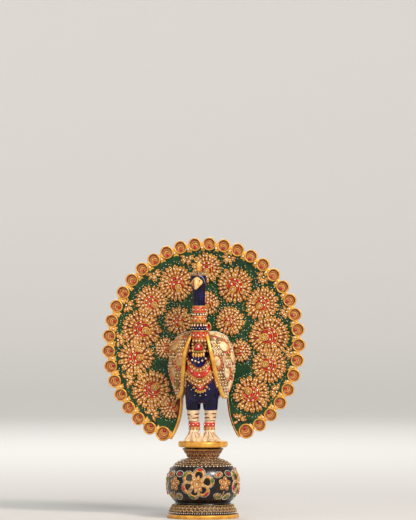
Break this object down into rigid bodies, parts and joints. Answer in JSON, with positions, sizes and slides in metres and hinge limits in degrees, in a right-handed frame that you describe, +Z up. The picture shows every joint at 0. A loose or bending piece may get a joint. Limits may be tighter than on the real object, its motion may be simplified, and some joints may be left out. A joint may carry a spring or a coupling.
{
  "type": "peacock figurine",
  "caption": "Painted marble peacock figurine with a round scalloped tail standing on a pot-shaped turned pedestal",
  "frame": {"origin": "centre of the pedestal's flat underside", "axes": "+Z up, the bird faces -Y and the tail plate stands across +Y, +X is the viewer's right from the front"},
  "size_m": [0.2803, 0.1088, 0.3805],
  "materials": {
    "pedestal_paint": "glossy near-black paint with gold relief and stones",
    "bird_paint": "glossy dark blue, cream and red paint with gold relief and stones",
    "tail_paint": "green and red paint with gold relief and stones"
  },
  "bodies": {
    "root": {"pedestal": "pedestal_paint", "peacock": "bird_paint", "tail_fan": "tail_paint"}
  },
  "joints": []
}
